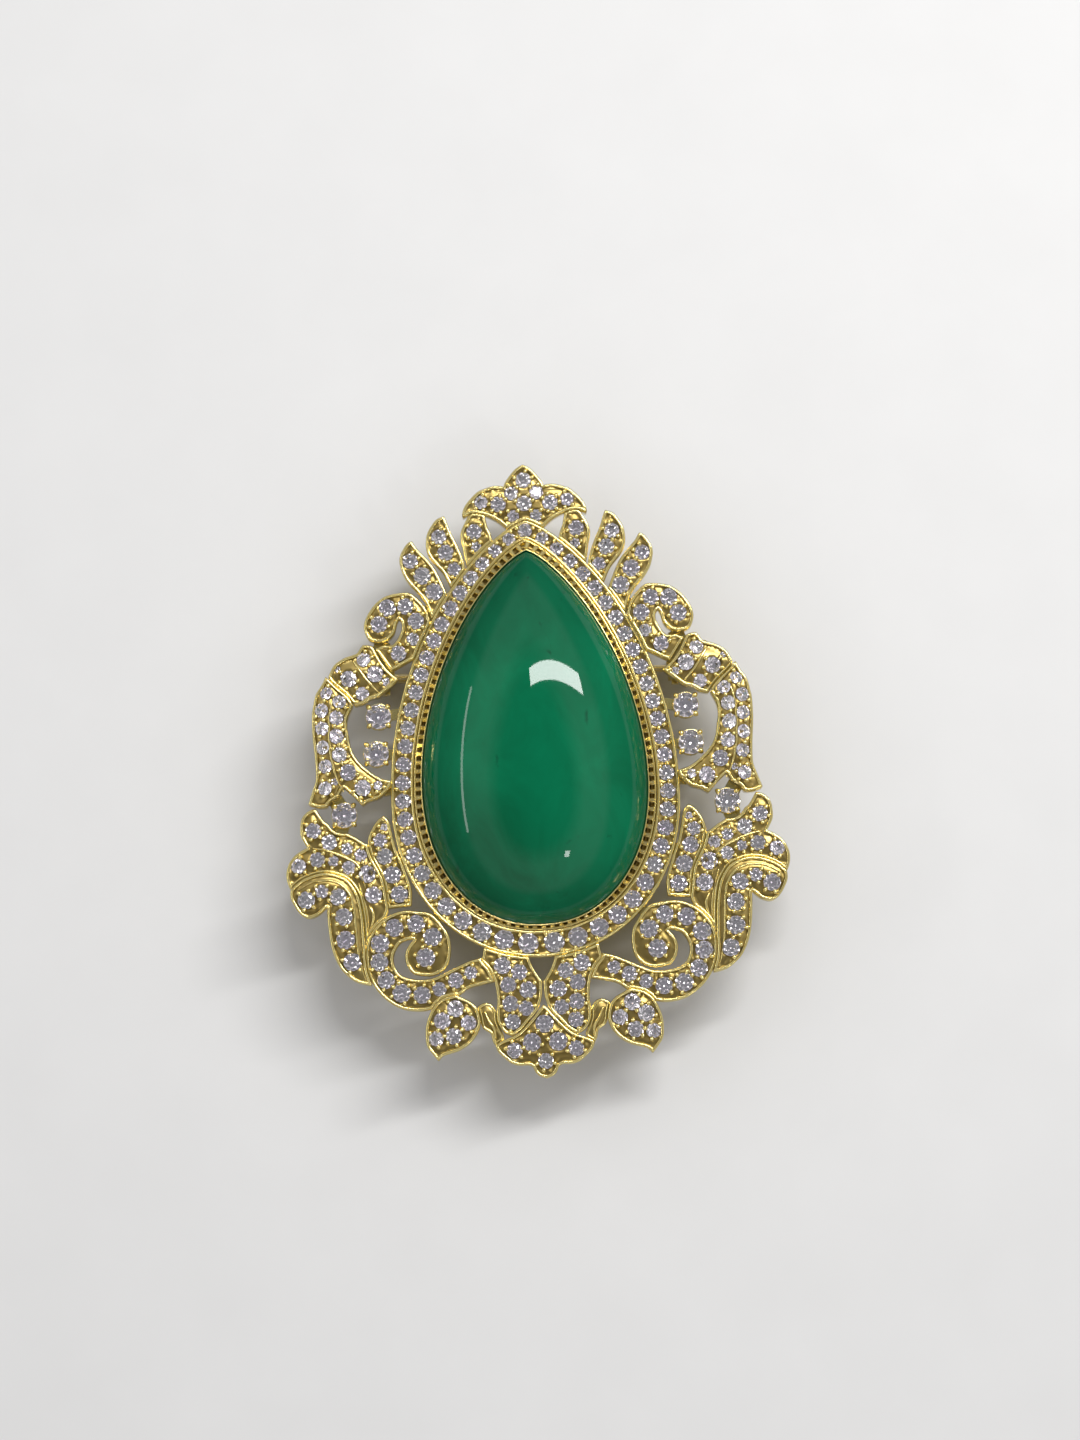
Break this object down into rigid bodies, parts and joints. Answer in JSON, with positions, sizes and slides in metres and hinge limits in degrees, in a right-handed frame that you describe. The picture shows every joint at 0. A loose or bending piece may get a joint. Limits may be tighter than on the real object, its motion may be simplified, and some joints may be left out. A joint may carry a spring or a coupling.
{
  "type": "brooch",
  "caption": "Pear-shaped green cabochon brooch with a pave halo, a wreath of jewelled scrolls and leaves, and a hinged pin with a rolling safety catch behind.",
  "frame": {"origin": "centre of the bounding box's bottom face: on the brooch's left-right centre line, level with the lowest point of the pin fittings behind", "axes": "+X to the right seen from the front, +Y towards the crest at the top, +Z out of the brooch's face"},
  "size_m": [0.0498, 0.0612, 0.0154],
  "materials": {
    "gold_plate": "bright yellow gold plate, polished rails and beads",
    "pin_metal": "gold-plated spring steel wire, drawn and polished",
    "emerald": "polished green cabochon with milky veils and small inclusions",
    "crystal": "clear faceted round stones"
  },
  "bodies": {
    "mounting": {"acanthus_left": "gold_plate", "acanthus_right": "gold_plate", "accent_stone_lower_left": "crystal", "accent_stone_lower_right": "crystal", "accent_stone_middle_left": "crystal", "accent_stone_middle_right": "crystal", "accent_stone_upper_left": "crystal", "accent_stone_upper_right": "crystal", "back_frame": "gold_plate", "bezel": "gold_plate", "bottom_petal_left": "gold_plate", "bottom_petal_right": "gold_plate", "bottom_trefoil": "gold_plate", "cabochon": "emerald", "catch_housing": "gold_plate", "collet_lower_left": "gold_plate", "collet_lower_right": "gold_plate", "collet_middle_left": "gold_plate", "collet_middle_right": "gold_plate", "collet_upper_left": "gold_plate", "collet_upper_right": "gold_plate", "crest": "gold_plate", "cuff_left": "gold_plate", "cuff_right": "gold_plate", "drop_leaf_left": "gold_plate", "drop_leaf_right": "gold_plate", "gallery_basket": "gold_plate", "halo_ring": "gold_plate", "hinge_bracket": "gold_plate", "hinge_rivet": "gold_plate", "inner_leaf_left": "gold_plate", "inner_leaf_right": "gold_plate", "lower_scroll_left": "gold_plate", "lower_scroll_right": "gold_plate", "middle_leaf_left": "gold_plate", "middle_leaf_right": "gold_plate", "outer_leaf_left": "gold_plate", "outer_leaf_right": "gold_plate", "outer_volute_left": "gold_plate", "outer_volute_right": "gold_plate", "side_arm_left": "gold_plate", "side_arm_right": "gold_plate", "side_curl_left": "gold_plate", "side_curl_right": "gold_plate", "upper_scroll_left": "gold_plate", "upper_scroll_right": "gold_plate", "upright_leaf_left": "gold_plate", "upright_leaf_right": "gold_plate"},
    "pin": {"pin_stem": "pin_metal"},
    "roller": {"catch_roller": "gold_plate"}
  },
  "joints": [
    {"name": "pin_swing", "type": "hinge", "parent": "mounting", "child": "pin", "pos_m": [-0.0159, 0.0104, 0.0017], "axis": [0, 1, 0], "range_deg": [0, 75]},
    {"name": "catch_roll", "type": "hinge", "parent": "mounting", "child": "roller", "pos_m": [0.0159, 0.0104, 0.0017], "axis": [1, 0, 0], "range_deg": [0, 100]}
  ]
}
